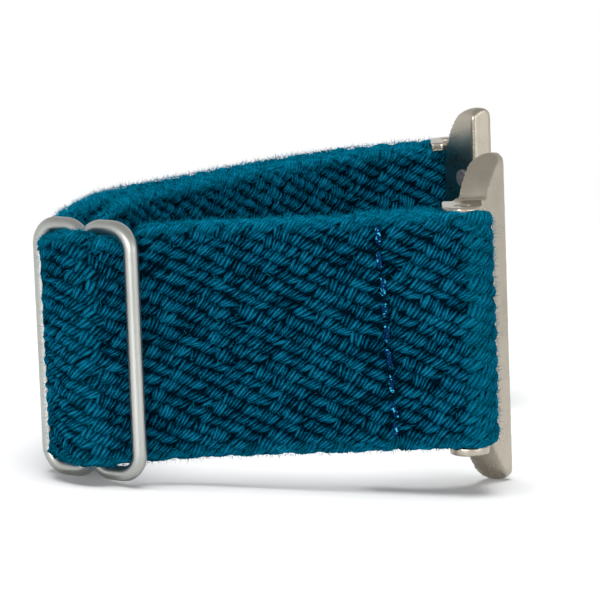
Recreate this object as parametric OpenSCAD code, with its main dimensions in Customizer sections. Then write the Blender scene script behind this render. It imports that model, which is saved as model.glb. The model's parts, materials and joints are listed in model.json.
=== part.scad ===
// Stretch cotton wrist strap. One long knitted strap is sewn round a spring bar at the near lug
// adapter, passes over the centre bar of a figure-of-eight slide, runs round the far spring bar and
// comes back to be sewn round that centre bar.
// The plan is drawn level: X points to the lug adapters, Y from the near run to the far run, and Z
// across the strap. rest_pose() then stands it on its edge, on the slide and the two adapters.

/* [Strap] */
// Width of the strap
strap_w = 24; // [20:0.5:24]
// Thickness of the relaxed strap
strap_t = 2.1; // [1.8:0.1:2.4]
// Strap width where the slide draws it in
drawn_w = 22.2; // [19:0.2:23.4]
// Length of strap that bends between the near run and the slide
flex_l = 8.6; // [7:0.1:9.5]
// Strap thickness where it passes through the slide
pass_t = 1.7; // [1.4:0.1:1.8]
// Strap thickness of the sewn end round the centre bar
wrap_t = 1.3; // [1:0.1:1.4]
// Gap between the two layers of the far run
layer_gap = 0.8; // [0.4:0.1:1.4]
// Length of the near hem, from the spring bar to its raw edge
hem_l = 10.4; // [9.6:0.1:13]
// Distance of the hem seam from the spring bar
seam_in = 7.9; // [7:0.1:8.4]
// Lean of the hem seam across the strap
seam_lean = 1.5; // [0:0.1:2]
// Length of the sewn end, from the centre bar to its raw edge
end_l = 9.4; // [8.6:0.1:10]
// Distance of the end seam from the centre bar
end_seam_in = 7.2; // [6.4:0.1:7.6]
// Radius of the sewing thread
thread_r = 0.18; // [0.1:0.02:0.24]
// Length of one stitch
stitch_l = 1.7; // [1.2:0.1:1.9]
// Distance from one stitch to the next
stitch_pitch = 2.2; // [2.1:0.1:3]

/* [Slide] */
// Room between the drawn-in strap and each end of the slide's window
window_room = 0.5; // [0.1:0.1:1.6]
// Distance from the centre bar to each side bar
bar_pitch = 5.7; // [5.4:0.1:6.4]
// Diameter of the slide's wire
wire_d = 1.5; // [1.2:0.1:1.5]
// Corner radius of the slide, on the wire's centreline
corner_r = 2.2; // [1.8:0.1:2.5]
// Angle between the slide and the near run
slide_turn = 35; // [30:1:40]
// How far the slide hangs below the middle of the strap
slide_drop = 0.5; // [0:0.1:0.6]

/* [Lug adapters] */
// Distance between the two slot faces that the adapters fill
slot_span = 44; // [38:0.5:49]
// Width of the outline that the adapters' faces follow
outline_w = 38; // [36:0.5:44]
// Corner radius of that outline
outline_r = 9.5; // [8:0.1:10]
// Length of the insert that slides into the slot
insert_l = 33.6; // [31.5:0.1:34]
// Thickness of the insert
insert_t = 2.5; // [2.3:0.05:3]
// Depth of the insert in the slot
insert_d = 5.2; // [4.8:0.1:6]
// Lean of the insert, away from the wrist
insert_lean = 32; // [20:1:34]
// Edge radius of the insert
insert_r = 0.35; // [0.2:0.05:0.35]
// Corner radius of the insert's two ends, at its deep edge
insert_end_r = 1.4; // [1:0.1:1.8]
// Offset of the insert from the spring bar, away from the wrist
insert_x = 0.8; // [0.4:0.1:1.2]
// Thickness of each ear
ear_t = 0.9; // [0.8:0.05:1.2]
// Radius of each ear round the spring bar
ear_r = 2; // [1.6:0.1:2.2]
// Radius of the hollow where an ear meets the insert
ear_hollow = 0.6; // [0.3:0.1:0.8]
// How far each ear presses into the edge of the strap
ear_sink = 0.5; // [0:0.1:0.7]
// How far the adapters hang below the middle of the strap
adapter_drop = 0.3; // [0:0.1:0.4]

/* [Spring bars] */
// Diameter of the spring bar's barrel
barrel_d = 1.8; // [1.8:0.05:2]
// Diameter of the spring bar's tips
tip_d = 1; // [0.8:0.05:1.1]
// Length of the coil spring between the two plungers
bar_spring_l = 8; // [7:0.5:10]
// Wire diameter of the springs
spring_wire = 0.22; // [0.16:0.02:0.24]

/* [Latches] */
// Diameter of the latch plunger's nose
nose_d = 1.1; // [0.9:0.05:1.1]
// How far the nose stands out of the insert
nose_out = 0.7; // [0.65:0.05:0.9]
// Depth of the latch bore
latch_depth = 3; // [2.8:0.1:3.4]
// Diameter of the latch bore
latch_bore_d = 1.75; // [1.65:0.05:1.8]
// Diameter of the friction pads
pad_d = 1.8; // [1.4:0.1:2]
// Distance of each friction pad from the middle
pad_out = 9; // [6:0.5:10]
// How far a friction pad stands out of the insert
pad_proud = 0.2; // [0.1:0.05:0.3]

/* [Hidden] */
$fn = 48;

// Colours
teal = [0.02, 0.33, 0.42];
thread_blue = [0.03, 0.35, 0.62];
satin_silver = [0.80, 0.79, 0.76];
polished_steel = [0.82, 0.80, 0.76];
spring_steel = [0.62, 0.62, 0.64];
silicone_grey = [0.35, 0.36, 0.38];

// A cut runs this far past the face it opens
eps = 0.01;
// Clearance between cloth and what it wraps or passes
cloth_fit = 0.1;
// Clearance between two layers sewn together
sewn_fit = 0.1;
// Radial clearance of a turning or sliding metal fit
metal_fit = 0.05;
// Clearance between the strap and an ear
ear_fit = 0.15;
// Turns of the adapter at which its ears are cleared from the strap
room_turns = [-90, -45, 0, 8, 16, 24];
// Clearance between the fold and the insert's face
fold_fit = 0.25;
// Largest turn between neighbouring points of a bend
bend_step = 10;
// Points along a long bend
bend_points = 12;
// Angles at which the strap's edge steps in, for a rounded edge
edge_angles = [0, 30, 60];

// Spring bars, seen in plan
barrel_r = barrel_d / 2;
fold_r = barrel_r + cloth_fit + strap_t / 2;
fold_out = fold_r + strap_t / 2;
insert_y = fold_out + fold_fit;
near_bar_x = 16.7;
near_bar = [near_bar_x, fold_out];
far_bar = [near_bar.x, near_bar.y + 2 * insert_y + slot_span];

// Slide, seen in plan
wire_r = wire_d / 2;
slide_h = drawn_w + 2 * window_room + 2 * wire_d;
slide_x = -20.75;
slide_y = 1;
centre_bar = [slide_x, slide_y];
right_bar = centre_bar + bar_pitch * heading(-slide_turn);
left_bar = centre_bar - bar_pitch * heading(-slide_turn);
slide_corner_z = slide_h / 2 - wire_r - corner_r;
loop_flat = bar_pitch - 2 * corner_r;

// The strap's way through the slide: under the right bar, over the centre bar, under the left bar
wrap_r = wire_r + cloth_fit / 2 + wrap_t / 2;
over_r = wrap_r + wrap_t / 2 + cloth_fit / 2 + pass_t / 2;
under_r = wire_r + cloth_fit + pass_t / 2;
cross_angle = asin((over_r + under_r) / bar_pitch);
enter_h = 180 - slide_turn + cross_angle;
leave_h = 180 - slide_turn - cross_angle;
pass_in = right_bar - under_r * left_of(enter_h);
pass_out = left_bar - under_r * left_of(leave_h);
pass_tail = 1;

// Between the centre bar and the left bar the strap bulges out before the left bar pinches it
bulge_from = 235;
bulge_to = -35;
bulge_pull = 0.55;
bend_pull = 0.36;

// Near run: its centreline, the slope of its hem, and where it starts to bend towards the slide
near_y = strap_t / 2;
hem_h = 14;
flex_x = pass_in.x + flex_l;

// Far run: the outer layer's waypoints, as shares of the way from the slide to the far bar
outer_start = pass_out + pass_tail * heading(leave_h);
far_h = 14;
outer_end = far_bar + fold_r * left_of(far_h);
knee_share = [0.0725, 0.27];
knee_h = 73;
shoulder_share = [0.4075, 0.677];
shoulder_h = 50;
knee = share_way(outer_start, outer_end, knee_share);
shoulder = share_way(outer_start, outer_end, shoulder_share);
outer_rise = bend(outer_start, leave_h, knee, knee_h);
rise_half = bend_points / 2;

// Inner layer: it follows the outer one, then narrows to the sewn end
layer_step = strap_t + layer_gap;
shoulder_slack = 0.5;
inner_knee = knee - layer_step * left_of(knee_h);
inner_shoulder = shoulder - (layer_step + shoulder_slack) * left_of(shoulder_h);
inner_h = 0;
inner_start = far_bar - fold_r * left_of(inner_h);
end_h = 81;
sewn_step = wrap_t + sewn_fit;
end_tuck = 0.2;
end_w = drawn_w - 2 * end_tuck;
end_gap = 0.25;
end_join = outer_rise[rise_half] - (strap_t / 2 + end_gap + wrap_t / 2) * left_of(end_h);
end_edge = end_join - sewn_step * left_of(end_h) - (norm(end_join - centre_bar) - end_l) * heading(end_h);
end_seam = end_edge - (end_l - end_seam_in) * heading(end_h);
end_flat = end_seam - stitch_pitch / 2 * heading(end_h);
wrap_left = centre_bar + wrap_r * left_of(leave_h);
wrap_right = centre_bar - wrap_r * left_of(leave_h);

// Across the strap
ear_z = strap_w / 2 - ear_sink + ear_fit;
insert_back = insert_d * cos(insert_lean) + insert_t / 2 * sin(insert_lean);
barrel_half = ear_z - 0.2;
barrel_wall = 0.2;
cap_t = 0.5;
plunger_r = barrel_r - barrel_wall - metal_fit;
tip_r = tip_d / 2;
tip_short = 0.1;
ear_chamfer = 0.25;

// Latch stack, measured along the bore from its floor
latch_r = latch_bore_d / 2;
collar_t = 0.6;
flange_t = 0.5;
nose_r = nose_d / 2;
nose_chamfer = 0.15;
latch_spring_l = latch_depth - collar_t - flange_t;
pad_sink = 0.7;
pad_q = 0.55;
ear_root = 1.2;

// Lean of the whole strap as it stands on the slide's left loop and the adapters' lower ends
slide_low = [
    centre_bar.x - cos(slide_turn) * (bar_pitch - corner_r),
    -slide_h / 2 + wire_r - slide_drop
];
end_setback = outline_r - sqrt(pow(outline_r, 2) - pow(insert_l / 2 - outline_w / 2 + outline_r, 2));
insert_low = [
    near_bar.x + insert_x + end_setback * tan(insert_lean),
    insert_t / 2 - insert_l / 2 - adapter_drop
];
foot_span = insert_low - slide_low;
foot_step = wire_r - insert_t / 2;
rest_tilt = acos(foot_step / norm(foot_span)) - atan2(foot_span.x, -foot_span.y);
ground_z = slide_low.y * cos(rest_tilt) + slide_low.x * sin(rest_tilt) - wire_r;

// Ends of the standing strap, from which its middle is found
slide_end_x = (left_bar.x - wire_r) * cos(rest_tilt) - (slide_corner_z - slide_drop) * sin(rest_tilt);
insert_tip_x = near_bar.x + insert_x + insert_d * sin(insert_lean) + insert_t / 2 * cos(insert_lean);
insert_end_x = insert_tip_x * cos(rest_tilt) + (insert_l / 2 - insert_end_r - adapter_drop) * sin(rest_tilt);
mid_x = (slide_end_x + insert_end_x) / 2;
mid_y = (right_bar.y - wire_r + far_bar.y + fold_out) / 2;

// Unit vector at an angle, and the one to its left
function heading(a) = [cos(a), sin(a)];
function left_of(a) = [-sin(a), cos(a)];

// Point part of the way from a to b, with a share for each axis
function share_way(a, b, share) = [a.x + (b.x - a.x) * share.x, a.y + (b.y - a.y) * share.y];

// Curve that leaves a at one angle and meets b at another
function bend(a, from, b, to, share = bend_pull) =
    let (
        pull = norm(b - a) * share,
        p = a + pull * heading(from),
        q = b - pull * heading(to)
    )
    [for (i = [0:bend_points])
        let (t = i / bend_points, u = 1 - t)
        a * u * u * u + 3 * p * u * u * t + 3 * q * u * t * t + b * t * t * t];

// Arc round a centre, from one bearing to another
function arc(centre, r, from, to) =
    let (steps = ceil(abs(to - from) / bend_step))
    [for (i = [0:steps]) centre + r * heading(from + (to - from) * i / steps)];

// Joins two runs of points that share an end
function chain(a, b) = concat(a, [for (i = [1:len(b) - 1]) b[i]]);

// Adds a thickness to each point, changing evenly from one end to the other
function thicken(points, from, to) =
    [for (i = [0:len(points) - 1])
        [points[i].x, points[i].y, from + (to - from) * i / (len(points) - 1)]];

// Angle of a path at point i
function path_h(path, i) = atan2(path[i + 1].y - path[i - 1].y, path[i + 1].x - path[i - 1].x);

// Outline of a strip of cloth that follows a path; its end faces are square to the given angles
function strip(path, from, to, share) =
    let (
        last = len(path) - 1,
        turn = [for (i = [0:last]) i == 0 ? from : i == last ? to : path_h(path, i)],
        side = [for (i = [0:last]) path[i].z / 2 * share * left_of(turn[i])]
    )
    concat(
        [for (i = [0:last]) [path[i].x, path[i].y] + side[i]],
        [for (i = [last:-1:0]) [path[i].x, path[i].y] - side[i]]
    );

// Cloth along a path, with its two edges stepped in to a round
module cloth(path, from, to, width) {
    rim = max([for (p = path) p.z]);
    for (a = edge_angles)
        linear_extrude(height = width - rim * (1 - sin(a)), center = true)
            polygon(strip(path, from, to, cos(a)));
}

// Stands the level strap on its edge with its middle over the origin
module rest_pose() {
    translate([-mid_x, -mid_y, -ground_z])
        rotate([0, -rest_tilt, 0])
            children();
}

module strap_near_run() {
    hem = [near_bar.x - hem_l, near_y + strap_t + sewn_fit];
    flat = [near_bar.x - seam_in + stitch_pitch / 2, hem.y];
    fold = arc(near_bar, fold_r, hem_h + 90, -90);
    leg = concat([hem], bend(flat, 0, fold[0], hem_h));
    path = concat(chain(leg, fold), [[flex_x, near_y]]);
    color(teal)
        rest_pose()
            difference() {
                cloth(thicken(path, strap_t, strap_t), 0, 180, strap_w);
                at_bar(false) ear_room();
            }
}

module strap_near_flex() {
    path = bend([flex_x, near_y], 180, pass_in, enter_h);
    color(teal)
        rest_pose()
            translate([0, 0, -slide_drop / 2])
                cloth(thicken(path, strap_t, pass_t), 180, enter_h, (strap_w + drawn_w) / 2);
}

module strap_over_slide() {
    over = arc(centre_bar, over_r, enter_h + 90, bulge_from);
    pinch = arc(left_bar, under_r, bulge_to, leave_h - 90);
    bulge = bend(over[len(over) - 1], bulge_from - 90, pinch[0], bulge_to + 90, bulge_pull);
    path = concat([pass_in], chain(chain(over, bulge), pinch), [outer_start]);
    color(teal)
        rest_pose()
            translate([0, 0, -slide_drop])
                cloth(thicken(path, pass_t, pass_t), enter_h, leave_h, drawn_w);
}

module strap_outer_flex() {
    color(teal)
        rest_pose()
            translate([0, 0, -slide_drop / 2])
                cloth(thicken(outer_rise, pass_t, strap_t), leave_h, knee_h, (strap_w + drawn_w) / 2);
}

module strap_far_run() {
    outer = chain(bend(knee, knee_h, shoulder, shoulder_h), bend(shoulder, shoulder_h, outer_end, far_h));
    fold = arc(far_bar, fold_r, far_h + 90, inner_h - 90);
    inner = chain(
        bend(inner_start, inner_h + 180, inner_shoulder, shoulder_h + 180),
        bend(inner_shoulder, shoulder_h + 180, inner_knee, knee_h + 180)
    );
    color(teal)
        rest_pose()
            difference() {
                cloth(
                    thicken(chain(chain(outer, fold), inner), strap_t, strap_t),
                    knee_h, knee_h + 180, strap_w
                );
                at_bar(true) ear_room();
            }
}

module strap_inner_flex() {
    path = bend(inner_knee, knee_h + 180, end_join, end_h + 180);
    color(teal)
        rest_pose()
            translate([0, 0, -slide_drop / 2])
                cloth(thicken(path, strap_t, wrap_t), knee_h + 180, end_h + 180, (strap_w + drawn_w) / 2);
}

module strap_sewn_end() {
    down = bend(end_flat + sewn_step * left_of(end_h), end_h + 180, wrap_left, leave_h + 180);
    wrap = arc(centre_bar, wrap_r, leave_h + 90, leave_h + 270);
    back = bend(wrap_right, leave_h, end_flat, end_h);
    path = concat([end_join], chain(chain(down, wrap), back), [end_edge]);
    color(teal)
        rest_pose()
            translate([0, 0, -slide_drop])
                cloth(thicken(path, wrap_t, wrap_t), end_h + 180, end_h, end_w);
}

// Row of stitches lying on a flat face that looks along -Y, leaning across a strap of the given width
module stitch_row(lean, width) {
    count = floor((width - 2 * strap_t - stitch_l) / stitch_pitch / 2);
    rotate([0, -lean, 0])
        for (i = [-count:count])
            translate([0, -thread_r, i * stitch_pitch])
                cylinder(r = thread_r, h = stitch_l, center = true, $fn = 24);
}

// Rows of stitches on both faces of two sewn layers, the first face looking along -Y
module seam(lean, width, depth) {
    stitch_row(lean, width);
    translate([0, depth, 0])
        mirror([0, 1, 0])
            stitch_row(lean, width);
}

module hem_stitches() {
    color(thread_blue)
        rest_pose()
            translate([near_bar.x - seam_in, 0, 0])
                seam(atan(seam_lean / strap_w), strap_w, 2 * strap_t + sewn_fit);
}

module end_stitches() {
    start = end_seam - wrap_t / 2 * left_of(end_h);
    color(thread_blue)
        rest_pose()
            translate([start.x, start.y, -slide_drop])
                rotate([0, 0, end_h])
                    seam(0, end_w, 2 * wrap_t + sewn_fit);
}

// Puts the slide in its place, with its length along X and its height along Z
module slide_place() {
    rest_pose()
        translate([centre_bar.x, centre_bar.y, -slide_drop])
            rotate([0, 0, -slide_turn])
                children();
}

// Quarter turn of wire in the XZ plane, from one bearing to the next
module wire_corner(from) {
    rotate([90, 0, 0])
        rotate([0, 0, from])
            rotate_extrude(angle = 90)
                translate([corner_r, 0])
                    circle(wire_r);
}

module slide_frame() {
    color(satin_silver)
        slide_place()
            for (side = [0, 180], up = [0, 1])
                rotate([0, 0, side])
                    mirror([0, 0, up]) {
                        translate([bar_pitch, 0, 0])
                            cylinder(r = wire_r, h = slide_corner_z);
                        translate([bar_pitch - corner_r, 0, slide_corner_z])
                            wire_corner(0);
                        translate([corner_r, 0, slide_corner_z])
                            wire_corner(90);
                        translate([corner_r, 0, slide_corner_z + corner_r])
                            rotate([0, 90, 0])
                                cylinder(r = wire_r, h = loop_flat);
                    }
}

module slide_centre_bar() {
    color(satin_silver)
        slide_place()
            cylinder(r = wire_r, h = 2 * slide_corner_z, center = true);
}

// Moves to a spring bar, with the slot along +Y; the far end is a mirror image
module at_bar(far) {
    bar = far ? far_bar : near_bar;
    translate([bar.x, bar.y, -adapter_drop])
        if (far)
            mirror([0, 1, 0])
                children();
        else
            children();
}

// Puts an adapter's pieces at their spring bar in the standing strap
module at_lug(far) {
    rest_pose()
        at_bar(far)
            children();
}

// Section of the insert in plan, leaning away from the wrist, with its deep edge rounded
module insert_section() {
    translate([insert_x, insert_y])
        rotate(-insert_lean) {
            translate([-insert_t / 2, -insert_t])
                square([insert_t, insert_t + insert_d - insert_r]);
            translate([-insert_t / 2 + insert_r, 0])
                square([insert_t - 2 * insert_r, insert_d]);
            for (side = [-1, 1])
                translate([side * (insert_t / 2 - insert_r), insert_d - insert_r])
                    circle(insert_r);
        }
}

// The insert seen from the wrist, with Y across and Z up: its face follows the rounded outline
module insert_outline() {
    straight = outline_w - 2 * outline_r;
    intersection() {
        union() {
            translate([insert_y, -straight / 2])
                square([insert_back, straight]);
            translate([insert_y + outline_r, 0])
                for (side = [-1, 1])
                    translate([0, side * straight / 2])
                        circle(outline_r, $fn = 96);
        }
        union() {
            translate([insert_y, -insert_l / 2])
                square([insert_back - insert_end_r, insert_l]);
            translate([insert_y, -insert_l / 2 + insert_end_r])
                square([insert_back, insert_l - 2 * insert_end_r]);
            for (side = [-1, 1])
                translate([insert_y + insert_back - insert_end_r, side * (insert_l / 2 - insert_end_r)])
                    circle(insert_end_r);
        }
    }
}

// The insert seen along its depth: a bar with two round ends
module insert_face() {
    straight = insert_l - insert_t;
    square([insert_t, straight], center = true);
    for (side = [-1, 1])
        translate([0, side * straight / 2])
            circle(insert_t / 2);
}

// Ear in plan: round the spring bar, then square back to the slot's face and into the insert
module ear_section() {
    circle(ear_r);
    translate([-ear_r, 0])
        square([2 * ear_r, insert_y]);
    intersection() {
        insert_section();
        translate([-ear_r, 0])
            square([2 * ear_r + insert_t, insert_y + ear_root]);
    }
}

// Room pressed into the strap's edges by the two ears, wherever the adapter is turned
module ear_room() {
    reach = ear_r + ear_fit;
    for (up = [0, 1])
        mirror([0, 0, up])
            translate([0, 0, ear_z - ear_fit])
                linear_extrude(height = strap_w) {
                    circle(reach);
                    for (a = room_turns)
                        rotate(a)
                            translate([-reach, 0])
                                square([2 * reach, insert_y + 2 * ear_fit]);
                }
}

// Turns to the insert's own lean, with its depth along +Y from the slot's face
module in_insert() {
    translate([insert_x, insert_y, 0])
        rotate([0, 0, -insert_lean])
            children();
}

// Room for a friction pad, or the pad itself with its proud end
module pads(proud) {
    in_insert()
        for (side = [-1, 1])
            translate([pad_sink - insert_t / 2, insert_d * pad_q, side * pad_out])
                rotate([0, -90, 0])
                    cylinder(d = pad_d, h = pad_sink + proud);
}

// Turns to the latch bore, with Z running from its floor to its mouth
module in_latch() {
    in_insert()
        translate([0, insert_d - latch_depth, 0])
            rotate([-90, 0, 0])
                children();
}

// Hollow fill between the top of an ear and the insert's face
module ear_hollow_fill() {
    half_w = insert_t / 2 / cos(insert_lean);
    translate([insert_x - half_w, insert_y, ear_z + ear_t])
        rotate([90, 0, 90])
            linear_extrude(height = 2 * half_w)
                difference() {
                    translate([-ear_hollow, -eps])
                        square([ear_hollow + eps, ear_hollow + eps]);
                    translate([-ear_hollow, ear_hollow])
                        circle(ear_hollow);
                }
}

module adapter_body() {
    hole_r = tip_r + metal_fit;
    color(polished_steel)
        difference() {
            union() {
                intersection() {
                    linear_extrude(height = insert_l, center = true)
                        insert_section();
                    rotate([90, 0, 90])
                        linear_extrude(height = 4 * insert_d, center = true)
                            insert_outline();
                    in_insert()
                        rotate([90, 0, 0])
                            linear_extrude(height = 4 * insert_d, center = true)
                                insert_face();
                }
                for (up = [0, 1])
                    mirror([0, 0, up])
                        translate([0, 0, ear_z])
                            linear_extrude(height = ear_t)
                                ear_section();
                for (up = [0, 1])
                    mirror([0, 0, up])
                        ear_hollow_fill();
            }
            for (up = [0, 1])
                mirror([0, 0, up])
                    translate([0, 0, ear_z - eps]) {
                        cylinder(r = hole_r, h = ear_t + 2 * eps);
                        translate([0, 0, ear_t - ear_chamfer])
                            cylinder(r1 = hole_r, r2 = hole_r + ear_chamfer + 2 * eps, h = ear_chamfer + 2 * eps);
                    }
            in_latch()
                cylinder(r = latch_r, h = latch_depth + eps);
            pads(eps);
        }
}

module latch_plunger() {
    reach = collar_t + nose_out - nose_chamfer;
    color(polished_steel)
        in_latch()
            translate([0, 0, latch_spring_l]) {
                cylinder(r = latch_r - 2 * metal_fit, h = flange_t);
                translate([0, 0, flange_t]) {
                    cylinder(r = nose_r, h = reach);
                    translate([0, 0, reach])
                        cylinder(r1 = nose_r, r2 = nose_r - nose_chamfer, h = nose_chamfer);
                }
            }
}

module latch_collar() {
    color(polished_steel)
        in_latch()
            translate([0, 0, latch_depth - collar_t])
                difference() {
                    cylinder(r = latch_r, h = collar_t);
                    translate([0, 0, -eps])
                        cylinder(r = nose_r + metal_fit, h = collar_t + 2 * eps);
                }
}

// Coil spring along Z from the floor it stands on, with 8 rings of 6 points in each turn
module coil(r, length, turns) {
    rings = turns * 8;
    rise = length - spring_wire;
    wire_end = spring_wire / 2;
    points = [for (i = [0:rings], j = [0:5])
        let (a = 45 * i, out = r + wire_end * cos(60 * j))
        [out * cos(a), out * sin(a), wire_end + rise * i / rings + wire_end * sin(60 * j)]];
    sides = [for (i = [0:rings - 1], j = [0:5])
        let (a = 6 * i + j, b = 6 * i + (j + 1) % 6)
        each [[a, b, a + 6], [b, b + 6, a + 6]]];
    ends = [for (j = [1:4])
        each [[0, j + 1, j], [6 * rings, 6 * rings + j, 6 * rings + j + 1]]];
    polyhedron(points, concat(sides, ends), convexity = 10);
}

module latch_spring() {
    color(spring_steel)
        in_latch()
            coil(latch_r - 4 * metal_fit - spring_wire / 2, latch_spring_l, 3);
}

module bar_barrel() {
    color(polished_steel)
        difference() {
            cylinder(r = barrel_r, h = 2 * barrel_half, center = true);
            cylinder(r = plunger_r + metal_fit, h = 2 * (barrel_half - cap_t), center = true);
            cylinder(r = tip_r + metal_fit, h = 2 * (barrel_half + eps), center = true);
        }
}

module bar_tip() {
    shoulder = barrel_half - cap_t;
    color(polished_steel) {
        translate([0, 0, bar_spring_l / 2])
            cylinder(r = plunger_r, h = shoulder - bar_spring_l / 2);
        translate([0, 0, shoulder])
            cylinder(r = tip_r, h = ear_z + ear_t - tip_short - shoulder);
    }
}

module bar_spring() {
    color(spring_steel)
        translate([0, 0, -bar_spring_l / 2])
            coil(plunger_r - metal_fit - spring_wire / 2, bar_spring_l, 11);
}

module near_adapter_body() { at_lug(false) adapter_body(); }
module near_friction_pads() { at_lug(false) color(silicone_grey) pads(pad_proud); }
module near_latch_plunger() { at_lug(false) latch_plunger(); }
module near_latch_spring() { at_lug(false) latch_spring(); }
module near_latch_collar() { at_lug(false) latch_collar(); }
module near_bar_barrel() { at_lug(false) bar_barrel(); }
module near_bar_upper_tip() { at_lug(false) bar_tip(); }
module near_bar_lower_tip() { at_lug(false) mirror([0, 0, 1]) bar_tip(); }
module near_bar_spring() { at_lug(false) bar_spring(); }
module far_adapter_body() { at_lug(true) adapter_body(); }
module far_friction_pads() { at_lug(true) color(silicone_grey) pads(pad_proud); }
module far_latch_plunger() { at_lug(true) latch_plunger(); }
module far_latch_spring() { at_lug(true) latch_spring(); }
module far_latch_collar() { at_lug(true) latch_collar(); }
module far_bar_barrel() { at_lug(true) bar_barrel(); }
module far_bar_upper_tip() { at_lug(true) bar_tip(); }
module far_bar_lower_tip() { at_lug(true) mirror([0, 0, 1]) bar_tip(); }
module far_bar_spring() { at_lug(true) bar_spring(); }

strap_near_run();
strap_near_flex();
strap_over_slide();
strap_outer_flex();
strap_far_run();
strap_inner_flex();
strap_sewn_end();
hem_stitches();
end_stitches();
slide_frame();
slide_centre_bar();
near_adapter_body();
near_friction_pads();
near_latch_plunger();
near_latch_spring();
near_latch_collar();
near_bar_barrel();
near_bar_upper_tip();
near_bar_lower_tip();
near_bar_spring();
far_adapter_body();
far_friction_pads();
far_latch_plunger();
far_latch_spring();
far_latch_collar();
far_bar_barrel();
far_bar_upper_tip();
far_bar_lower_tip();
far_bar_spring();
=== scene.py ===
"""Dresses a stretch cotton wrist strap: braided yarn, loose fibres, seams, slide, lug adapters and stage."""

import json
import math

import bmesh
import bpy
import numpy as np
from bpy.props import FloatProperty, FloatVectorProperty, PointerProperty
from bpy.types import Operator, Panel, PropertyGroup
from mathutils import Matrix, Vector


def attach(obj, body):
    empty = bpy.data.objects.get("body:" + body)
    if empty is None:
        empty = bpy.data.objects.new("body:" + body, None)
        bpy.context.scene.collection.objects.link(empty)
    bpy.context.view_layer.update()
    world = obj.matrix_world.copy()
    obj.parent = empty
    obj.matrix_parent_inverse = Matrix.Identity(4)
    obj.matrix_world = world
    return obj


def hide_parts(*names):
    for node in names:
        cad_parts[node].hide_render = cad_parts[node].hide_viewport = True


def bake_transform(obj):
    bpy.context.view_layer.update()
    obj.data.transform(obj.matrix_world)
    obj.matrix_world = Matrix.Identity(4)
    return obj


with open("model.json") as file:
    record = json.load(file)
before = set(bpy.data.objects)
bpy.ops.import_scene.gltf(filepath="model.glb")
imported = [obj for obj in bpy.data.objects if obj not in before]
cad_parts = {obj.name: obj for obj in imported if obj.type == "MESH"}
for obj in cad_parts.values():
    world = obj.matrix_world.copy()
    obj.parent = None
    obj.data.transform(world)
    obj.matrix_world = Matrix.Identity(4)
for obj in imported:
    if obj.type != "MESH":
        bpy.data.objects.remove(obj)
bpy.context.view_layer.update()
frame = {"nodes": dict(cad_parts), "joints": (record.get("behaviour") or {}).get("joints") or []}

bl_info = {
    "name": "Stretch Cotton Strap",
    "version": (1, 0, 0),
    "blender": (4, 5, 0),
    "location": "3D View > Sidebar > Strap",
    "description": "Braids the strap, sews its seams, finishes its metal and sets the stage",
    "category": "Object",
}

MM = 0.001

# The level plan of the strap, in millimetres and degrees, as the solids have it
STRAP_W, STRAP_T = 24.0, 2.1
DRAWN_W, PASS_T, WRAP_T, END_W = 22.2, 1.7, 1.3, 21.8
SLIDE_DROP, SLIDE_TURN, BAR_PITCH = 0.5, 35.0, 5.7
NEAR_BAR, FAR_BAR, CENTRE_BAR = (16.7, 3.1), (16.7, 53.8), (-20.75, 1.0)
FOLD_R, WRAP_R, OVER_R, UNDER_R = 2.05, 1.45, 3.0, 1.7
BULGE_FROM, BULGE_TO, BULGE_PULL, BEND_PULL = 235.0, -35.0, 0.55, 0.36
HEM_L, SEAM_IN, SEAM_LEAN, HEM_H = 10.4, 7.9, 1.5, 14.0
END_L, END_SEAM_IN, END_H = 9.4, 7.2, 81.0
FLEX_L, PASS_TAIL, STITCH_PITCH, STITCH_L = 8.6, 1.0, 2.2, 1.7
EAR_R, EAR_REACH, EAR_LOW, EAR_HIGH = 2.15, 3.65, -11.8, 11.2
EAR_TURNS = (-90, -45, 0, 8, 16, 24)
FAR_H, INNER_H, KNEE_H, SHOULDER_H = 14.0, 0.0, 73.0, 50.0
KNEE_SHARE, SHOULDER_SHARE = (0.0725, 0.27), (0.4075, 0.677)
LAYER_STEP, SHOULDER_SLACK, SEWN_STEP, END_GAP = 2.9, 0.5, 1.4, 0.25
SEWN_GAP, ADAPTER_DROP = 0.1, 0.3
RISE_POINTS = 81

# Where the cloth comes over the left bar it narrows, its corners round off and it lies flatter
BROW_X, BROW_L, BROW_IN, BROW_FLAT = -21.8, 3.0, 2.6, 0.35

# In the slide's plane the cloth is narrower and hangs lower, and it spreads again on both sides of it
PLANE_W, PLANE_DROP, PLANE_MORE, PLANE_SINK = 22.5, 0.35, 0.55, 0.3
PLANE_MORE_FROM, PLANE_MORE_L, PLANE_HALF, PLANE_FADE = -1, 3, 1.4, 1.2

# Behind the slide the cloth is a little wider than its full width
SWELL, SWELL_L = 0.8, 9.0

# The braid closes round the strap only with a whole number of ribs and of cells
RIBS, CELL_SHIFT, FULL_GIRTH = 36, 15, 50.4

# How far a bundle of plies strays from the braid's rule, and each ply from its bundle
BRAID_SEED, MOST_PLIES, LEAST_PLIES, MEAN_PLIES = 7, 6, 5, 5.5
BUNDLE_TWIST, BUNDLE_PLUMP, BUNDLE_JOG, BUNDLE_SPREAD, BUNDLE_FAN = 13, 0.09, 0.07, 0.96, 24
PLY_TWIST, PLY_JOG_ALONG, PLY_JOG_ROUND, PLY_LONG = 4, 0.025, 0.05, 0.06
PLY_END_THIN, PLY_END_SHORT, BRAID_END = 0.5, 0.22, 0.1
PLY_WIDE_RANGE, PLY_LONG_RANGE, PLY_THIN_RANGE = (0.65, 1.6), (0.7, 1.5), (0.75, 1)

# The form of a ply: how thick its tips are, how much more its belly is, and how full
PLY_TIP, PLY_BELLY, PLY_FULL, PLY_SIDES, PLY_STEPS = 0.28, 0.72, 0.6, 4, 4

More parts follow.
